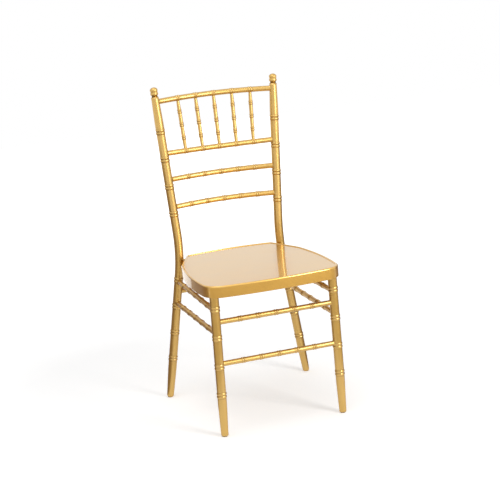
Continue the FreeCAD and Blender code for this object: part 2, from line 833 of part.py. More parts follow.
doc.recompute()
for item in doc.Objects:
    if "Invalid" in item.State or "Error" in item.State:
        raise RuntimeError(f"{item.Label} failed: {item.State}")
os.makedirs("parts", exist_ok=True)
for piece in pieces:
    shape = piece.Shape
    if shape.isNull() or not shape.isValid() or len(shape.Solids) != 1:
        raise RuntimeError(f"{piece.Label} is not one valid solid")
    shape.exportStep(f"parts/{piece.Label}.step")
print(f"{len(pieces)} pieces written")
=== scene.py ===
"""Chiavari chair in gold enamel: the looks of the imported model. Metres, floor at z = 0."""
import bpy
import numpy as np
from mathutils import Matrix, Vector


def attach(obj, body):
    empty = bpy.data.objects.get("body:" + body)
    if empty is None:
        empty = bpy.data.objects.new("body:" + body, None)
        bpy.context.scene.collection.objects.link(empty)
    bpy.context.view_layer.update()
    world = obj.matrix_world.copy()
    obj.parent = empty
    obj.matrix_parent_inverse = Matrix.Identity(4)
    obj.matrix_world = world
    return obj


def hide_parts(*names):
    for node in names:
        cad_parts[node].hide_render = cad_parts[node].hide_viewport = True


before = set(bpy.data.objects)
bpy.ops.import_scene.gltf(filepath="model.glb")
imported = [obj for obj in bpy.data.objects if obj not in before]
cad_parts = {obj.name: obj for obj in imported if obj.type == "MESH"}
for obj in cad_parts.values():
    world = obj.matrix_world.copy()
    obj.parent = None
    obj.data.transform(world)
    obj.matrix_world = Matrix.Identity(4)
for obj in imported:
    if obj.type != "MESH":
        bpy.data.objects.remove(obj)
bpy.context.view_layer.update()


# Camera
# A long lens about 3.7 m away, to the left of the front and a little above the seat. It is
# rolled by a few degrees, because the chair leans that way in the photograph.

CAMERA_AZIMUTH = np.radians(-18.01)
CAMERA_ELEVATION = np.radians(13.22)
CAMERA_ROLL = np.radians(-4.82)
CAMERA_DISTANCE = 3.65878
CAMERA_AIM = np.array([0.00521, 0.0090, 0.45466])
LENS_MM = 93.565


def in_scene(name, data):
    """A new object of the scene with this mesh, lamp or camera."""
    obj = bpy.data.objects.new(name, data)
    bpy.context.scene.collection.objects.link(obj)
    return obj


away = np.array([
    np.sin(CAMERA_AZIMUTH) * np.cos(CAMERA_ELEVATION),
    -np.cos(CAMERA_AZIMUTH) * np.cos(CAMERA_ELEVATION),
    np.sin(CAMERA_ELEVATION),
])
level = np.array([np.cos(CAMERA_AZIMUTH), np.sin(CAMERA_AZIMUTH), 0.0])
upright = np.cross(away, level)
right = np.cos(CAMERA_ROLL) * level + np.sin(CAMERA_ROLL) * upright
upward = -np.sin(CAMERA_ROLL) * level + np.cos(CAMERA_ROLL) * upright
camera = in_scene("camera", bpy.data.cameras.new("camera"))
camera.data.lens = LENS_MM
camera.data.sensor_width = 36.0
camera.matrix_world = Matrix.Translation(CAMERA_AIM + away * CAMERA_DISTANCE) @ Matrix(
    np.stack([right, upward, away], axis=1).tolist()).to_4x4()
bpy.context.scene.camera = camera
bpy.context.scene.view_settings.view_transform = "Standard"


# Studio: a white floor, a white room and soft lamps
# The floor and the room are white to the eye and in the metal's reflections. Low screens of warm
# grey cloth at both sides give each tube its two darker flanks. A paler cloth in front tones down
# the floor that the skirt mirrors. The camera sees none of the cloths.

def linear(hex_colour):
    """An sRGB hex colour as linear red, green, blue and an alpha of 1."""
    srgb = np.array([int(hex_colour[i:i + 2], 16) for i in (1, 3, 5)]) / 255
    low, high = srgb / 12.92, ((srgb + 0.055) / 1.055) ** 2.4
    return (*np.where(srgb <= 0.04045, low, high).tolist(), 1.0)


def add(tree, kind, settings=None, **links):
    """Add a node to a tree, with settings of its sockets or properties, and links.

    A link's name is its socket's, with underscores for spaces, or an underscore and its number.
    """
    node = tree.nodes.new(kind)
    for name, value in (settings or {}).items():
        if name in node.inputs:
            node.inputs[name].default_value = value
        else:
            setattr(node, name, value)
    for name, source in links.items():
        socket = int(name[1:]) if name.startswith("_") else name.replace("_", " ")
        tree.links.new(source, node.inputs[socket])
    return node


def blank_material(name):
    """A new material whose node tree is empty."""
    material = bpy.data.materials.new(name)
    material.use_nodes = True
    material.node_tree.nodes.clear()
    return material, material.node_tree


def seen_rays(tree):
    """1 for rays of the camera and for reflected and transmitted rays, 0 for plain light."""
    path = add(tree, "ShaderNodeLightPath")
    either = add(tree, "ShaderNodeMath", {"operation": "MAXIMUM"},
                 _0=path.outputs["Is Camera Ray"], _1=path.outputs["Is Glossy Ray"])
    return add(tree, "ShaderNodeMath", {"operation": "MAXIMUM"},
               _0=either.outputs[0], _1=path.outputs["Is Transmission Ray"]).outputs[0]


WHITE = "#ffffff"
ROOM_LIGHT = 0.45   # What the white room gives to plain light; to the eye it is 1.

world = bpy.data.worlds.new("white room")
world.use_nodes = True
bpy.context.scene.world = world
room = world.node_tree
room.nodes.clear()
plain_light = add(room, "ShaderNodeBackground", {"Color": linear(WHITE), "Strength": ROOM_LIGHT})
white_room = add(room, "ShaderNodeBackground", {"Color": linear(WHITE), "Strength": 1.0})
room_mix = add(room, "ShaderNodeMixShader", _0=seen_rays(room), _1=plain_light.outputs[0],
               _2=white_room.outputs[0])
add(room, "ShaderNodeOutputWorld", Surface=room_mix.outputs[0])

FLOOR_HALF = 6.0
GLOW_NEAR, GLOW_FAR = (0.8, 0.4), (3.0, 1.0)   # Distance from the chair and glow there.

floor_mesh = bpy.data.meshes.new("floor")
floor_mesh.from_pydata(
    [(x * FLOOR_HALF, y * FLOOR_HALF, 0) for x, y in ((-1, -1), (1, -1), (1, 1), (-1, 1))],
    [], [(0, 1, 2, 3)])
floor = in_scene("floor", floor_mesh)
# Matt white paint that keeps the chair's shadow, and glows up to the room's white far out.
paint, tree = blank_material("white studio floor")
matt = add(tree, "ShaderNodeBsdfDiffuse", {"Color": linear("#f2f2f2")})
distance = add(tree, "ShaderNodeVectorMath", {"operation": "LENGTH"},
               _0=add(tree, "ShaderNodeTexCoord").outputs["Object"])
strength = add(tree, "ShaderNodeMapRange", {
    "From Min": GLOW_NEAR[0], "From Max": GLOW_FAR[0],
    "To Min": GLOW_NEAR[1], "To Max": GLOW_FAR[1]}, Value=distance.outputs["Value"])
glow = add(tree, "ShaderNodeEmission", {"Color": linear(WHITE)}, Strength=strength.outputs[0])
lit = add(tree, "ShaderNodeAddShader", _0=matt.outputs[0], _1=glow.outputs[0])
shown = add(tree, "ShaderNodeMixShader", _0=seen_rays(tree), _1=matt.outputs[0],
            _2=lit.outputs[0])
add(tree, "ShaderNodeOutputMaterial", Surface=shown.outputs[0])
floor_mesh.materials.append(paint)


def lamp(name, place, aim, size, watts):
    """A soft rectangular lamp at a place, turned towards its aim."""
    light = bpy.data.lights.new(name, "AREA")
    light.shape = "RECTANGLE"
    light.size, light.size_y = size
    light.energy = watts
    way = Vector(aim) - Vector(place)
    in_scene(name, light).matrix_world = (
        Matrix.Translation(place) @ way.to_track_quat("-Z", "Y").to_matrix().to_4x4())


lamp("key lamp", (1.5, -2.6, 1.5), (0, 0, 0.6), (0.9, 1.8), 46)
lamp("top lamp", (-0.6, -0.4, 3.2), (0, 0, 0.4), (2.0, 2.0), 22)


SCREEN_STEPS = 24
SCREEN_LIFT = 0.001


def screen(name, colour, start, end, foot, radius, height):
    """A cloth round part of the chair, from azimuth start to end, that only reflections see.

    It lies on the floor from its foot radius out to its radius and stands up to its height.
    Azimuth 0 is behind the chair, and 90 is at its left as the camera sees it.
    """
    cloth, tree = blank_material(name + " cloth")
    dim = add(tree, "ShaderNodeEmission", {"Color": linear(colour)})
    add(tree, "ShaderNodeOutputMaterial", Surface=dim.outputs[0])
    turn = np.radians(np.linspace(start, end, SCREEN_STEPS + 1))
    around = np.stack([-np.sin(turn), np.cos(turn), 0 * turn], axis=1)
    rows = [around * reach + (0, 0, up)
            for reach, up in ((foot, SCREEN_LIFT), (radius, SCREEN_LIFT), (radius, height))]
    row = SCREEN_STEPS + 1
    mesh = bpy.data.meshes.new(name)
    mesh.from_pydata(np.vstack(rows).tolist(), [], [
        (i, i + 1, i + row + 1, i + row)
        for first in (0, row) for i in range(first, first + SCREEN_STEPS)])
    mesh.materials.append(cloth)
    obj = in_scene(name, mesh)
    obj.visible_camera = False
    obj.visible_diffuse = False
    obj.visible_shadow = False


WARM_GREY = "#9b897c"
screen("left screen", WARM_GREY, start=26, end=100, foot=0.33, radius=0.95, height=0.60)
screen("right screen", WARM_GREY, start=-100, end=-42, foot=0.33, radius=0.95, height=0.60)
screen("front screen", "#cabca4", start=100, end=260, foot=0.7, radius=2.4, height=0.02)


# Back posts
# Each is one length of 25 mm steel tube, tapered at the foot, bent at seat height and drawn in
# under the finial. Pairs of rolled rings run up it like the joints of bamboo. Gold enamel.

def bent_path(foot, bend, top, bend_radius):
    """A straight run, an arc and a second straight run, as a function of length.

    On the arc a point is the centre plus the spoke turned by length over radius. Before and
    after it the point goes on along the arc's end tangent. It gives the point, and two
    directions across the path, for each length.
    """
    foot, bend, top = (np.array(point) for point in (foot, bend, top))
    first, second = bend - foot, top - bend
    first_length = np.linalg.norm(first)
    first, second = first / first_length, second / np.linalg.norm(second)
    turn = np.arccos(first @ second)
    reach = bend_radius * np.tan(turn / 2)
    across = np.cross(first, second)
    across /= np.linalg.norm(across)
    inward = np.cross(across, first)
    centre = bend - first * reach + inward * bend_radius

    def path(length):
        arc = length - (first_length - reach)
        angle = np.clip(arc / bend_radius, 0, turn)[..., None]
        over = arc[..., None] - angle * bend_radius
        ahead = first * np.cos(angle) + inward * np.sin(angle)
        spoke = first * np.sin(angle) - inward * np.cos(angle)
        point = centre + spoke * bend_radius + ahead * over
        return point, -spoke, np.broadcast_to(across, point.shape)

    return path


def carry(path, lengths, radii, sides):
    """A round profile carried along a path, as a grid of points.

    Each point is the path's point plus the radius times (side cos turn + other sin turn).
    Lengths and radii are one for each row, or a grid of one for each row and side.
    """
    turn = np.linspace(0, 2 * np.pi, sides, endpoint=False)
    lengths, radii = (values[:, None] + np.zeros(sides) if values.ndim == 1 else values
                      for values in (np.asarray(lengths), np.asarray(radii)))
    point, side, other = path(lengths)
    return point + radii[..., None] * (
        side * np.cos(turn)[:, None] + other * np.sin(turn)[:, None])


def skin(name, grid, groove=None):
    """A closed surface from a grid of points: its columns wrap round and its ends are poles.

    Rows and columns make quads, and a fan to the mean of each end row closes it. The last argument
    is the painted shade of each row, from 0 to 1, darkest in the crease beside a ring or at a weld,
    as an attribute that the enamel reads.
    """
    rows, columns = grid.shape[:2]
    points = np.vstack([grid.reshape(-1, 3), grid[0].mean(axis=0), grid[-1].mean(axis=0)])
    index = np.arange(rows * columns).reshape(rows, columns)
    following = np.roll(index, -1, axis=1)
    quads = np.stack([index[:-1], following[:-1], following[1:], index[1:]], axis=-1).reshape(-1, 4)
    first, last = np.full(columns, rows * columns), np.full(columns, rows * columns + 1)
    fans = np.vstack([np.stack([first, following[0], index[0]], axis=-1),
                      np.stack([last, index[-1], following[-1]], axis=-1)])
    corners = np.concatenate([quads.ravel(), fans.ravel()])
    starts = np.concatenate([np.arange(len(quads)) * 4, len(quads) * 4 + np.arange(len(fans)) * 3])
    mesh = bpy.data.meshes.new(name)
    mesh.vertices.add(len(points))
    mesh.vertices.foreach_set("co", points.ravel())
    mesh.loops.add(len(corners))
    mesh.loops.foreach_set("vertex_index", corners.astype(np.int32))
    mesh.polygons.add(len(starts))
    mesh.polygons.foreach_set("loop_start", starts.astype(np.int32))
    mesh.polygons.foreach_set("use_smooth", np.ones(len(starts), bool))
    if groove is None:
        groove = np.zeros(rows)
    attribute = mesh.attributes.new("groove", "FLOAT", "POINT")
    attribute.data.foreach_set("value", np.concatenate(
        [np.repeat(groove, columns), groove[:1], groove[-1:]]).astype(np.float32))
    mesh.update(calc_edges=True)
    mesh.validate()
    return in_scene(name, mesh)


def ring_profile(lengths, radius, centres, width, rise, step):
    """Tube radius with pairs of rings, and the painted shade at each length, darkest at a ring's
    foot.

    The two rings of a pair are a step apart. Each adds rise * (1 - (distance / half width) ** 2).
    The painted shade fades from each ring's foot as exp(-(distance / fade) ** 2), with a fade of a
    seventh of the ring's width.
    """
    bump, groove = np.zeros_like(lengths), np.zeros_like(lengths)
    for centre in centres:
        for side in (-0.5, 0.5):
            off = np.abs(lengths - centre - side * step)
            bump = np.maximum(bump, 1 - (off / (width / 2)) ** 2)
            groove = np.maximum(groove, np.exp(-((off - width / 2) / (width / 7)) ** 2))
    return radius + rise * bump, groove


def spaced(start, end, centres, reach, fine, coarse):
    """Lengths from start to end, close together within reach of each centre."""
    marks = [np.arange(start, end, coarse), [end]]
    for centre in centres:
        marks.append(np.arange(centre - reach, centre + reach, fine))
    lengths = np.unique(np.round(np.concatenate(marks), 6))
    lengths = lengths[(lengths >= start) & (lengths <= end)]
    return lengths[np.concatenate([[True], np.diff(lengths) > fine * 0.4])]


def noise(tree, size, detail):
    """The value of a fine noise with patches of this size."""
    place = add(tree, "ShaderNodeTexCoord").outputs["Object"]
    return add(tree, "ShaderNodeTexNoise", {"Scale": 1 / size, "Detail": detail},
               Vector=place).outputs["Fac"]


def blend(tree, first, second, share):
    """A colour that goes from the first to the second with the share."""
    mix = add(tree, "ShaderNodeMix", {"data_type": "RGBA"}, _0=share)
    mix.inputs[6].default_value = linear(first)
    mix.inputs[7].default_value = linear(second)
    return mix.outputs[2]


CLOUD_SIZE, PEEL_SIZE, PEEL_HEIGHT = 0.060, 0.0012, 0.0002
# Deep gold: the far end of the cloud's random tone, and of the painted shade in the grooves and at
# the welds.
MOTTLE_AND_SHADE_GOLD = "#94702e"


def gold_enamel(name, base, edge, roughness, coat_roughness, coat_ior):
    """Gold pearl enamel over steel, with painted shade towards deep gold in the grooves beside the
    rings and at the welds.

    The share of the base colour is 0.85 on the plain tube and 0.4 in the painted shade of a groove,
    plus a quarter of a slow cloud, 60 mm across. The cloud varies the gloss too, and a fine orange
    peel of 1.2 mm the normal. A clear coat lies over it.
    """
    material, tree = blank_material(name)
    cloud = noise(tree, CLOUD_SIZE, 2.0)
    # Painted shade: the colour goes towards deep gold in the grooves beside the rings and at the
    # welds.
    groove = add(tree, "ShaderNodeAttribute", {"attribute_name": "groove"})
    shaded_share = add(tree, "ShaderNodeMapRange", {"To Min": 0.85, "To Max": 0.4},
                Value=groove.outputs["Fac"])
    sway = add(tree, "ShaderNodeMath", {"operation": "MULTIPLY_ADD"}, _0=cloud,
               _2=shaded_share.outputs[0])
    sway.inputs[1].default_value = 0.25
    gloss = add(tree, "ShaderNodeMapRange", {
        "To Min": roughness - 0.04, "To Max": roughness + 0.05}, Value=cloud)
    peel = add(tree, "ShaderNodeBump", {"Strength": 0.03, "Distance": PEEL_HEIGHT},
               Height=noise(tree, PEEL_SIZE, 1.0))
    shader = add(tree, "ShaderNodeBsdfPrincipled", {
        "Metallic": 1.0, "Specular Tint": linear(edge), "Coat Weight": 1.0,
        "Coat Roughness": coat_roughness, "Coat IOR": coat_ior},
        Base_Color=blend(tree, MOTTLE_AND_SHADE_GOLD, base, sway.outputs[0]),
        Roughness=gloss.outputs[0], Normal=peel.outputs[0])
    add(tree, "ShaderNodeOutputMaterial", Surface=shader.outputs[0])
    return material


def put_on(piece, material, node):
    """Give a piece its finish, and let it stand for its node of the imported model."""
    piece.data.materials.append(material)
    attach(piece, "root")
    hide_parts(node)


# Satin: a broad bright streak along each tube between flanks that go to brown.
tube_gold = gold_enamel("gold pearl enamel", base="#d0a95a", edge="#c8a468",
                        roughness=0.36, coat_roughness=0.2, coat_ior=1.5)

SIDES = {"left": -1.0, "right": 1.0}
TUBE_SIDES = 56
TUBE_RADIUS = 0.0125
FOOT_RADIUS = 0.010
FOOT_TAPER = 0.088
FOOT_ROUND = 0.0025
RING_WIDTH, RING_RISE, RING_STEP, RING_PITCH = 0.0075, 0.0013, 0.0085, 0.080
RING_PAIRS = np.arange(4)
REAR_RING_HEIGHT = 0.1225   # The lowest ring pair of a rear leg, above the floor.
POST_RING_DROP = 0.127      # The highest ring pair of a post, below its top.
GLIDE_HEIGHT = 0.002
REAR_FOOT = (0.218, 0.2055, GLIDE_HEIGHT)
BEND = (0.153, 0.1765, 0.434)
POST_TOP = (0.180, 0.1955, 0.920)
BEND_RADIUS = 0.560
FINIAL_HEIGHT = 0.022
POST_TOP_RADIUS = 0.0105
POST_TAPER = 0.080


def mirrored(point, side):
    """A point of the right half as it is, or its mirror image on the left."""
    return np.array(point) * (side, 1, 1)


def foot_rows(end_radius):
    """Lengths and radii of a foot's rounded end: a quarter circle from its face to its side."""
    turn = np.radians(np.arange(0, 91, 15))
    return (FOOT_ROUND * (1 - np.cos(turn)),
            end_radius - FOOT_ROUND + FOOT_ROUND * np.sin(turn))


def post_axis(side):
    """A post's path, and its length up to the height of the finial's top."""
    path = bent_path(mirrored(REAR_FOOT, side), mirrored(BEND, side), mirrored(POST_TOP, side),
                     BEND_RADIUS)
    reach = np.linspace(0.5, 1.1, 60001)
    height = path(reach)[0][:, 2]
    return path, float(np.interp(POST_TOP[2], height, reach))


def leg_tube(name, path, node, tube_end, centres, straight):
    """A leg or post from its rounded foot to tube_end, with ring pairs at the centres.

    straight gives the radius of the tube without its rings at each length.
    """
    lengths = spaced(FOOT_ROUND, tube_end, centres, reach=0.0095, fine=0.0004, coarse=0.006)
    radii, groove = ring_profile(lengths, straight(lengths), centres, RING_WIDTH, RING_RISE,
                                 RING_STEP)
    foot_lengths, foot_radii = foot_rows(FOOT_RADIUS)
    lengths = np.concatenate([foot_lengths[:-1], lengths])
    radii = np.concatenate([foot_radii[:-1], radii])
    groove = np.concatenate([np.zeros(len(foot_lengths) - 1), groove])
    tube = skin(name, carry(path, lengths, radii, TUBE_SIDES), groove)
    put_on(tube, tube_gold, node)


for side_name, side in SIDES.items():
    post_path, whole = post_axis(side)
    tube_end = whole - FINIAL_HEIGHT
    leg_tube(
        f"post_tube_{side_name}", post_path, f"back_post_{side_name}", tube_end,
        [*REAR_RING_HEIGHT - GLIDE_HEIGHT + RING_PITCH * RING_PAIRS,
         *whole - POST_RING_DROP - RING_PITCH * RING_PAIRS],
        lambda lengths: np.interp(
            lengths, [0, FOOT_TAPER, tube_end - POST_TAPER, tube_end],
            [FOOT_RADIUS, TUBE_RADIUS, TUBE_RADIUS, POST_TOP_RADIUS]))


# Front legs
# Straight lengths of the same tube, nearly upright, with four ring pairs and the same tapered
# foot. They stop under the seat pan, on the discs that carry it.

def straight_path(start, end, beside=(0, 1, 0)):
    """The straight line from start to end as a function of length: start + ahead * length."""
    start, end = np.array(start), np.array(end)
    ahead = (end - start) / np.linalg.norm(end - start)
    side = np.cross(beside, ahead)
    side /= np.linalg.norm(side)
    other = np.cross(ahead, side)

    def path(length):
        point = start + length[..., None] * ahead
        return point, np.broadcast_to(side, point.shape), np.broadcast_to(other, point.shape)

    return path


FRONT_FOOT = (0.174, -0.1865, GLIDE_HEIGHT)
FRONT_HEAD = (0.169, -0.1865, 0.425)
FRONT_RING_HEIGHT = 0.118
LEG_TOP = 0.4184 - GLIDE_HEIGHT

for side_name, side in SIDES.items():
    leg_tube(
        f"front_leg_tube_{side_name}",
        straight_path(mirrored(FRONT_FOOT, side), mirrored(FRONT_HEAD, side)),
        f"front_leg_{side_name}", LEG_TOP,
        FRONT_RING_HEIGHT - GLIDE_HEIGHT + RING_PITCH * RING_PAIRS,
        lambda lengths: np.interp(lengths, [0, FOOT_TAPER], [FOOT_RADIUS, TUBE_RADIUS]))


# Finials
# A turned steel cap on each post: a rounded ring that seats on the tube, a waist and a wider
# head with a rounded top. A plug holds it inside the tube. Enamelled with the frame.

def swell(start, end, rise, count=12):
    """Points of an arc from start to end that swells outwards by rise at its middle."""
    start, end = np.array(start), np.array(end)
    chord = end - start
    half = np.linalg.norm(chord) / 2
    radius = (half ** 2 + rise ** 2) / (2 * rise)
    turn = np.linspace(-1, 1, count) * np.arcsin(half / radius)
    ahead = chord / (2 * half)
    outward = np.array([-ahead[1], ahead[0]])
    return ((start + end) / 2 + radius * np.sin(turn)[:, None] * ahead
            + (radius * np.cos(turn) - radius + rise)[:, None] * outward)


def round_about(height, across, radius, start, end, count):
    """Points of an arc about (height, across), from start to end degrees up from level."""
    turn = np.radians(np.linspace(start, end, count))
    return np.stack([height + radius * np.sin(turn), across + radius * np.cos(turn)], axis=1)


CAP_RADIUS, WAIST_RADIUS, PLUG_RADIUS = 0.011, 0.010, 0.0085
CROWN, SHOULDER = 0.008, 0.006                  # Height of the rounded top; radius of its edge.
RING_TOP, FLARE_FOOT = 0.0075, 0.0085
CAP_SIDE = FINIAL_HEIGHT - CROWN
CROWN_RADIUS = (CROWN ** 2 + (CAP_RADIUS - SHOULDER) ** 2 - SHOULDER ** 2) / (
    2 * (CROWN - SHOULDER))
JOIN = float(np.degrees(np.arctan2(CROWN_RADIUS - CROWN, CAP_RADIUS - SHOULDER)))
FLARE = CAP_SIDE - FLARE_FOOT
FLARE_RADIUS = (FLARE ** 2 + (CAP_RADIUS - WAIST_RADIUS) ** 2) / (2 * (CAP_RADIUS - WAIST_RADIUS))
FLARE_START = float(np.degrees(np.arcsin(FLARE / FLARE_RADIUS)))
# Heights above the tube's end and radii, from the plug up to the middle of the top. A few
# degrees are left out where two arcs meet, so that no two rows are alike.
FINIAL_PROFILE = np.vstack([
    [(-0.006, PLUG_RADIUS), (0.0, PLUG_RADIUS), (0.0, POST_TOP_RADIUS - 0.0001)],
    swell((0.0, POST_TOP_RADIUS), (RING_TOP, WAIST_RADIUS), rise=0.0010),
    [(RING_TOP + 0.0005, WAIST_RADIUS)],
    round_about(CAP_SIDE, CAP_RADIUS - FLARE_RADIUS, FLARE_RADIUS, -FLARE_START, 0, 8),
    round_about(CAP_SIDE, CAP_RADIUS - SHOULDER, SHOULDER, 6, JOIN, 8),
    round_about(FINIAL_HEIGHT - CROWN_RADIUS, 0.0, CROWN_RADIUS, JOIN + 4, 90, 9)[:-1],
])

for side_name, side in SIDES.items():
    post_path, whole = post_axis(side)
    finial = skin(f"finial_cap_{side_name}", carry(
        post_path, whole - FINIAL_HEIGHT + FINIAL_PROFILE[:, 0], FINIAL_PROFILE[:, 1], 48))
    put_on(finial, tube_gold, f"finial_{side_name}")


# Stretchers
# Steel tubes of 14.5 mm between the legs: two at the front, two on each side and one at the rear.
# Each is coped to its legs and welded on all round, and has five pairs of fine rings.

RAIL_RADIUS, STRETCHER_RADIUS = 0.00775, 0.00725
SMALL_RING_WIDTH, SMALL_RING_RISE, SMALL_RING_STEP = 0.0056, 0.00105, 0.0064
RAIL_RING_PITCH = 0.0515
SIDE_RING_PITCH = 0.057
RAIL_RING_PAIRS = np.arange(-2, 3)
WELD = 0.0016
SINK = 0.001        # How far a welded end goes on inside the tube that it meets.
# Painted shade at the welds, on the same scale as the painted shade in the grooves.
JOINT_SHADE = 0.8   # How deep the tone is at the weld, on the scale of the grooves.


def coped_end(path, start, ahead_sign, post_way, post_radius, radius, sides):
    """Rows of a tube's end on a post, from inside the post out over the weld's hollow quarter.

    A line of the tube, at q beside its axis, leaves a post of radius R where the part of
    ahead * length + q that is square to the post is R long. The weld widens q as R grows.
    """
    turn = np.linspace(0, 2 * np.pi, sides, endpoint=False)[:, None]
    _, side, other = path(np.array(start))
    ahead = np.cross(side, other) * ahead_sign
    flat = ahead - (ahead @ post_way) * post_way
    bend = np.radians(np.arange(0, 91, 15))
    grown = np.concatenate([[WELD], WELD * (1 - np.sin(bend))])
    off = np.concatenate([[-SINK], WELD * (1 - np.cos(bend))])
    lengths = []
    for wider, further in zip(grown, off):
        spoke = (radius + wider) * (side * np.cos(turn) + other * np.sin(turn))
        spoke -= (spoke @ post_way)[:, None] * post_way
        along = spoke @ flat / (flat @ flat)
        short = ((spoke ** 2).sum(axis=1) - (post_radius + further) ** 2) / (flat @ flat)
        lengths.append(np.sqrt(along ** 2 - short) - along)
    return start + ahead_sign * np.array(lengths), radius + grown


def ringed_tube(name, path, places, radii, centres, posts, sides=40, clear=0.0008, coarse=0.005):
    """A tube between two posts, with fine ring pairs and both its ends coped and welded.

    Its radius without rings goes evenly from each place along it to the next, and the last
    place is its length. posts holds the direction and the radius of the post at each end.
    Between the ends, which its rows keep clear of, they are at most coarse apart.
    """
    first, first_radii = coped_end(path, 0.0, 1, *posts[0], radii[0], sides)
    last, last_radii = coped_end(path, places[-1], -1, *posts[1], radii[-1], sides)
    lengths = spaced(first.max() + clear, last.min() - clear, centres, reach=0.0070,
                     fine=0.0003, coarse=coarse)
    ringed, groove = ring_profile(lengths, np.interp(lengths, places, radii), centres,
                                  SMALL_RING_WIDTH, SMALL_RING_RISE, SMALL_RING_STEP)
    each_side = np.zeros(sides)
    grid = carry(
        path, np.vstack([first, lengths[:, None] + each_side, last[::-1]]),
        np.concatenate([first_radii, ringed, last_radii[::-1]])[:, None] + each_side, sides)
    # Painted shade at both welded ends, deepest at the weld and gone a few rows out.
    weld_shade = np.linspace(JOINT_SHADE, 0, len(first))
    return skin(name, grid, np.concatenate([weld_shade, groove, weld_shade[::-1]]))


def post_at(height, side):
    """Point of a post's axis at a height, and the way that the post runs there."""
    path, whole = post_axis(side)
    reach = np.linspace(0, whole, 20001)
    points = path(reach)[0]
    index = int(np.searchsorted(points[:, 2], height))
    way = points[index] - points[index - 1]
    share = (height - points[index - 1, 2]) / way[2]
    return points[index - 1] + way * share, way / np.linalg.norm(way)


def leg_at(height, side):
    """Point of a front leg's axis at a height, and the leg's way."""
    foot, head = mirrored(FRONT_FOOT, side), mirrored(FRONT_HEAD, side)
    point = foot + (head - foot) * (height - foot[2]) / (head[2] - foot[2])
    return point, (head - foot) / np.linalg.norm(head - foot)


def stretcher(node, start, end, pitch):
    """A stretcher between two legs, from the point and the leg's way at each of its ends."""
    whole = np.linalg.norm(end[0] - start[0])
    tube = ringed_tube(
        node + "_tube", straight_path(start[0], end[0], beside=(0, 0, 1)),
        (0, whole), (STRETCHER_RADIUS, STRETCHER_RADIUS), whole / 2 + pitch * RAIL_RING_PAIRS,
        ((start[1], TUBE_RADIUS), (end[1], TUBE_RADIUS)))
    put_on(tube, tube_gold, node)


for level, height in (("upper", 0.321), ("lower", 0.2045)):
    stretcher(f"front_stretcher_{level}", leg_at(height, -1), leg_at(height, 1), RAIL_RING_PITCH)
stretcher("rear_stretcher", post_at(0.323, -1), post_at(0.323, 1), RAIL_RING_PITCH)
for side_name, side in SIDES.items():
    for level, height in (("upper", 0.3525), ("lower", 0.2885)):
        stretcher(f"side_stretcher_{level}_{side_name}", leg_at(height, side),
                  post_at(height, side), SIDE_RING_PITCH)


# Back rails
# Four bowed tubes of 15.5 mm between the posts: the top rail, the rail that carries the
# spindles and two slat rails lower down. All have five pairs of fine rings and are welded in.

def bowed_path(height, bow, rise):
    """An arc from post to post whose middle lies bow behind and rise above its ends.

    Its sag is the square root of bow squared + rise squared, and its radius is
    (half span squared + sag squared) / (2 * sag). It also gives the length from post to post.
    """
    (half_span, back, _), _ = post_at(height, 1)
    sag = np.hypot(bow, rise)
    backward, over = np.array([0, bow, rise]) / sag, np.array([0, -rise, bow]) / sag
    radius = (half_span ** 2 + sag ** 2) / (2 * sag)
    half = np.arcsin(half_span / radius) * radius
    centre = np.array([0, back, height]) + backward * (sag - radius)

    def path(length):
        turn = ((length - half) / radius)[..., None]
        spoke = np.sin(turn) * np.array([1, 0, 0]) + np.cos(turn) * backward
        return centre + radius * spoke, spoke, np.broadcast_to(over, spoke.shape)

    return path, 2 * half


# Height at the posts, bow backwards, rise, and pitch of the ring pairs.
RAILS = {
    "top_rail": (0.878, 0.020, 0.0043, 0.055),
    "spindle_rail": (0.7295, 0.006, 0.0005, RAIL_RING_PITCH),
    "upper_slat_rail": (0.653, 0.020, 0.001, RAIL_RING_PITCH),
    "lower_slat_rail": (0.5725, 0.015, 0.0029, RAIL_RING_PITCH),
}
POST_TAPER_START = 0.82

for node, (height, bow, rise, pitch) in RAILS.items():
    rail_path, whole = bowed_path(height, bow, rise)
    narrowing = np.clip((height - POST_TAPER_START) / POST_TAPER, 0, 1)
    post_radius = TUBE_RADIUS + (POST_TOP_RADIUS - TUBE_RADIUS) * narrowing
    tube = ringed_tube(
        node + "_tube", rail_path, (0, whole), (RAIL_RADIUS, RAIL_RADIUS),
        whole / 2 + pitch * RAIL_RING_PAIRS,
        [(post_at(height, side)[1], post_radius) for side in (-1, 1)])
    put_on(tube, tube_gold, node)


# Spindles
# Five turned rods of 11 mm that narrow to 8.5 mm at both ends, where each is welded to a ring
# pair of the rail above and below. Each has three ring pairs of its own.

SPINDLE_RADIUS, SPINDLE_END_RADIUS = 0.0055, 0.00425

for number, pair in enumerate(RAIL_RING_PAIRS, 1):
    ends, welds = [], []
    for node in ("spindle_rail", "top_rail"):
        height, bow, rise, pitch = RAILS[node]
        rail_path, whole = bowed_path(height, bow, rise)
        point, side, other = rail_path(np.array(whole / 2 + pitch * pair))
        ends.append(point)
        welds.append((np.cross(side, other), RAIL_RADIUS))
    whole = np.linalg.norm(ends[1] - ends[0])
    rod = ringed_tube(
        f"spindle_rod_{number}", straight_path(*ends), whole * np.array([0, 0.25, 0.75, 1]),
        (SPINDLE_END_RADIUS, SPINDLE_RADIUS, SPINDLE_RADIUS, SPINDLE_END_RADIUS),
        whole * np.array([0.25, 0.5, 0.75]), welds, sides=32, clear=0.0006, coarse=0.003)
    put_on(rod, tube_gold, f"spindle_{number}")


# Seat pan
# One pressed sheet of 1.2 mm steel: a skirt open below, a rounded rim and a shallow recess. It
# has the glossiest enamel of the chair, which mirrors the posts.

# Place of each corner of the plan, its rounding and the bow of the edge that leaves it.
SEAT_CORNERS = [
    (-0.189, -0.209, 0.050, 0.014), (0.189, -0.209, 0.050, 0.0125),
    (0.1805, 0.0775, 0.080, 0.0006), (0.1325, 0.189, 0.012, 0.015),
    (-0.1325, 0.189, 0.012, 0.0006), (-0.1805, 0.0775, 0.080, 0.0125),
]


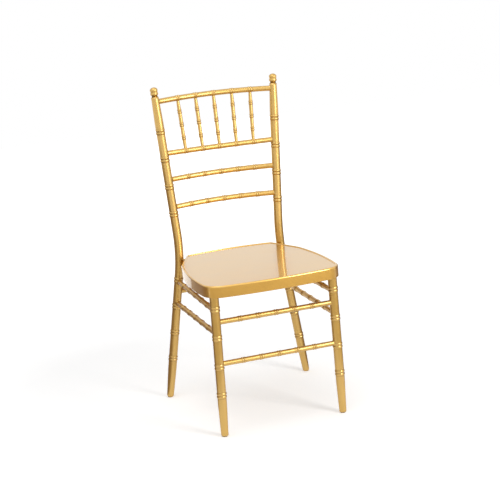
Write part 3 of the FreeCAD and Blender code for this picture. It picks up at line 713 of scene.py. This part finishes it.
def seat_edge():
    """Points round the seat's edge and the outward way at each, anticlockwise from above.

    The plan has six bowed edges, each an arc that bulges by its bow, and six corner arcs that
    are tangent to the edges beside them. Each corner's centre is where the two edges' arcs,
    drawn in by its rounding, cross.
    """
    corners = np.array(SEAT_CORNERS)
    places, roundings, bows = corners[:, :2], corners[:, 2], corners[:, 3]
    chords = np.roll(places, -1, axis=0) - places
    halves = np.linalg.norm(chords, axis=1) / 2
    radii = (halves ** 2 + bows ** 2) / (2 * bows)
    rightward = np.stack([chords[:, 1], -chords[:, 0]], axis=1) / (2 * halves)[:, None]
    middles = places + chords / 2 - rightward * (radii - bows)[:, None]
    centres = []
    for index in range(6):
        first, second = middles[index - 1], middles[index]
        first_radius, second_radius = radii[[index - 1, index]] - roundings[index]
        way = second - first
        reach = np.linalg.norm(way)
        forward = (first_radius ** 2 - second_radius ** 2 + reach ** 2) / (2 * reach)
        aside = np.sqrt(first_radius ** 2 - forward ** 2)
        way /= reach
        normal = np.array([-way[1], way[0]])
        both = [first + way * forward + normal * aside * sign for sign in (-1, 1)]
        centres.append(min(both, key=lambda point: np.linalg.norm(point - places[index])))
    centres = np.array(centres)
    points, ways = [], []
    for index in range(6):
        following = (index + 1) % 6
        into = centres[index] - middles[index - 1]
        out = centres[index] - middles[index]
        on = centres[following] - middles[index]
        for centre, radius, start, end, count in (
                (centres[index], roundings[index], into, out, 22),
                (middles[index], radii[index], out, on, 36)):
            turns = [np.arctan2(way[1], way[0]) for way in (start, end)]
            turns[1] = turns[0] + (turns[1] - turns[0]) % (2 * np.pi)
            turn = np.linspace(*turns, count, endpoint=False)
            way = np.stack([np.cos(turn), np.sin(turn)], axis=1)
            points.append(centre + radius * way)
            ways.append(way)
    return np.vstack(points), np.vstack(ways)


def quarter(centre_inset, centre_height, radius, start, end, step=10):
    """Insets and heights round an arc of the pan's section, in degrees from inwards, upwards."""
    turn = np.radians(np.linspace(start, end, int(abs(end - start) / step) + 1))
    return np.stack([centre_inset + radius * np.cos(turn), centre_height + radius * np.sin(turn)],
                    axis=1)


SEAT_TOP = 0.425
SHEET = 0.0012
SKIRT_FOOT = 0.393
RIM_WIDTH, RIM_RADIUS, RIM_INNER_RADIUS, RIM_FOOT_RADIUS = 0.008, 0.004, 0.0015, 0.0004
RECESS = 0.002
HOLD = 0.0003       # Rows this far from an arc keep the shading of the flats even.
TOP_STEPS = 25

seat_points, seat_ways = seat_edge()
# Insets from the plan's edge and heights: under the rim, down inside the skirt, round its foot,
# up its outside and over the rim to the recess.
section = np.vstack([
    [(RIM_WIDTH - SHEET, SEAT_TOP - RECESS - SHEET), (RIM_WIDTH - SHEET, SEAT_TOP - SHEET - HOLD),
     (RIM_WIDTH - SHEET - HOLD, SEAT_TOP - SHEET), (RIM_RADIUS + HOLD, SEAT_TOP - SHEET)],
    quarter(RIM_RADIUS, SEAT_TOP - RIM_RADIUS, RIM_RADIUS - SHEET, 90, 180, 15),
    [(SHEET, SEAT_TOP - RIM_RADIUS - HOLD), (SHEET, SKIRT_FOOT + HOLD)],
    quarter(SHEET / 2, SKIRT_FOOT + SHEET / 2, SHEET / 2, 0, -180, 30),
    [(0, SKIRT_FOOT + SHEET), (0, SKIRT_FOOT + 0.010), (0, SEAT_TOP - RIM_RADIUS - 0.004),
     (0, SEAT_TOP - RIM_RADIUS - HOLD)],
    quarter(RIM_RADIUS, SEAT_TOP - RIM_RADIUS, RIM_RADIUS, 180, 90),
    [(RIM_RADIUS + HOLD, SEAT_TOP), (RIM_WIDTH - RIM_INNER_RADIUS - HOLD, SEAT_TOP)],
    quarter(RIM_WIDTH - RIM_INNER_RADIUS, SEAT_TOP - RIM_INNER_RADIUS, RIM_INNER_RADIUS, 90, 0, 15),
    quarter(RIM_WIDTH + RIM_FOOT_RADIUS, SEAT_TOP - RECESS + RIM_FOOT_RADIUS, RIM_FOOT_RADIUS,
            180, 270, 30),
    [(RIM_WIDTH + RIM_FOOT_RADIUS + HOLD, SEAT_TOP - RECESS),
     (RIM_WIDTH + 0.003, SEAT_TOP - RECESS)],
])
rows = [np.column_stack([seat_points - inset * seat_ways, np.full(len(seat_points), height)])
        for inset, height in section]
shares = np.linspace(1, 0, TOP_STEPS + 1)[1:-1]
top_rows = [rows[-1] * (share, share, 1) for share in shares]
under_rows = [rows[0] * (share, share, 1) for share in shares[::-1]]
pan = skin("seat_sheet", np.array(under_rows + rows + top_rows))
# The same enamel with a hard gloss: seen flat it turns pale and mirrors the posts.
seat_gold = gold_enamel("glossy gold pearl enamel", base="#ddaf55", edge=WHITE,
                        roughness=0.3, coat_roughness=0.03, coat_ior=1.6)
put_on(pan, seat_gold, "seat_pan")


# Seat fixings
# Steel pins between the pan and the posts, discs on the front legs and folded channels under the
# pan, all welded on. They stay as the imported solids, in the frame's enamel.

for node in ("seat_spacer_left", "seat_spacer_right", "front_leg_cap_left",
             "front_leg_cap_right", "seat_stiffener_front", "seat_stiffener_rear"):
    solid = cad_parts[node]
    solid.data.materials.clear()
    solid.data.materials.append(tube_gold)


# Foot glides
# Moulded nylon: a stem pressed into the foot and a thin pad on the floor. Only a thin dull line
# of the pad is seen under each foot.

GRAIN_SIZE = 0.0008
# Matt nylon with a faint moulded grain of 0.8 mm.
nylon, tree = blank_material("grey brown nylon")
shader = add(tree, "ShaderNodeBsdfPrincipled", {"Roughness": 0.55},
             Base_Color=blend(tree, "#8a7c66", "#a09078", noise(tree, GRAIN_SIZE, 3.0)))
add(tree, "ShaderNodeOutputMaterial", Surface=shader.outputs[0])
for end_name in ("front", "rear"):
    for side_name in SIDES:
        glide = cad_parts[f"foot_glide_{end_name}_{side_name}"]
        glide.data.materials.clear()
        glide.data.materials.append(nylon)
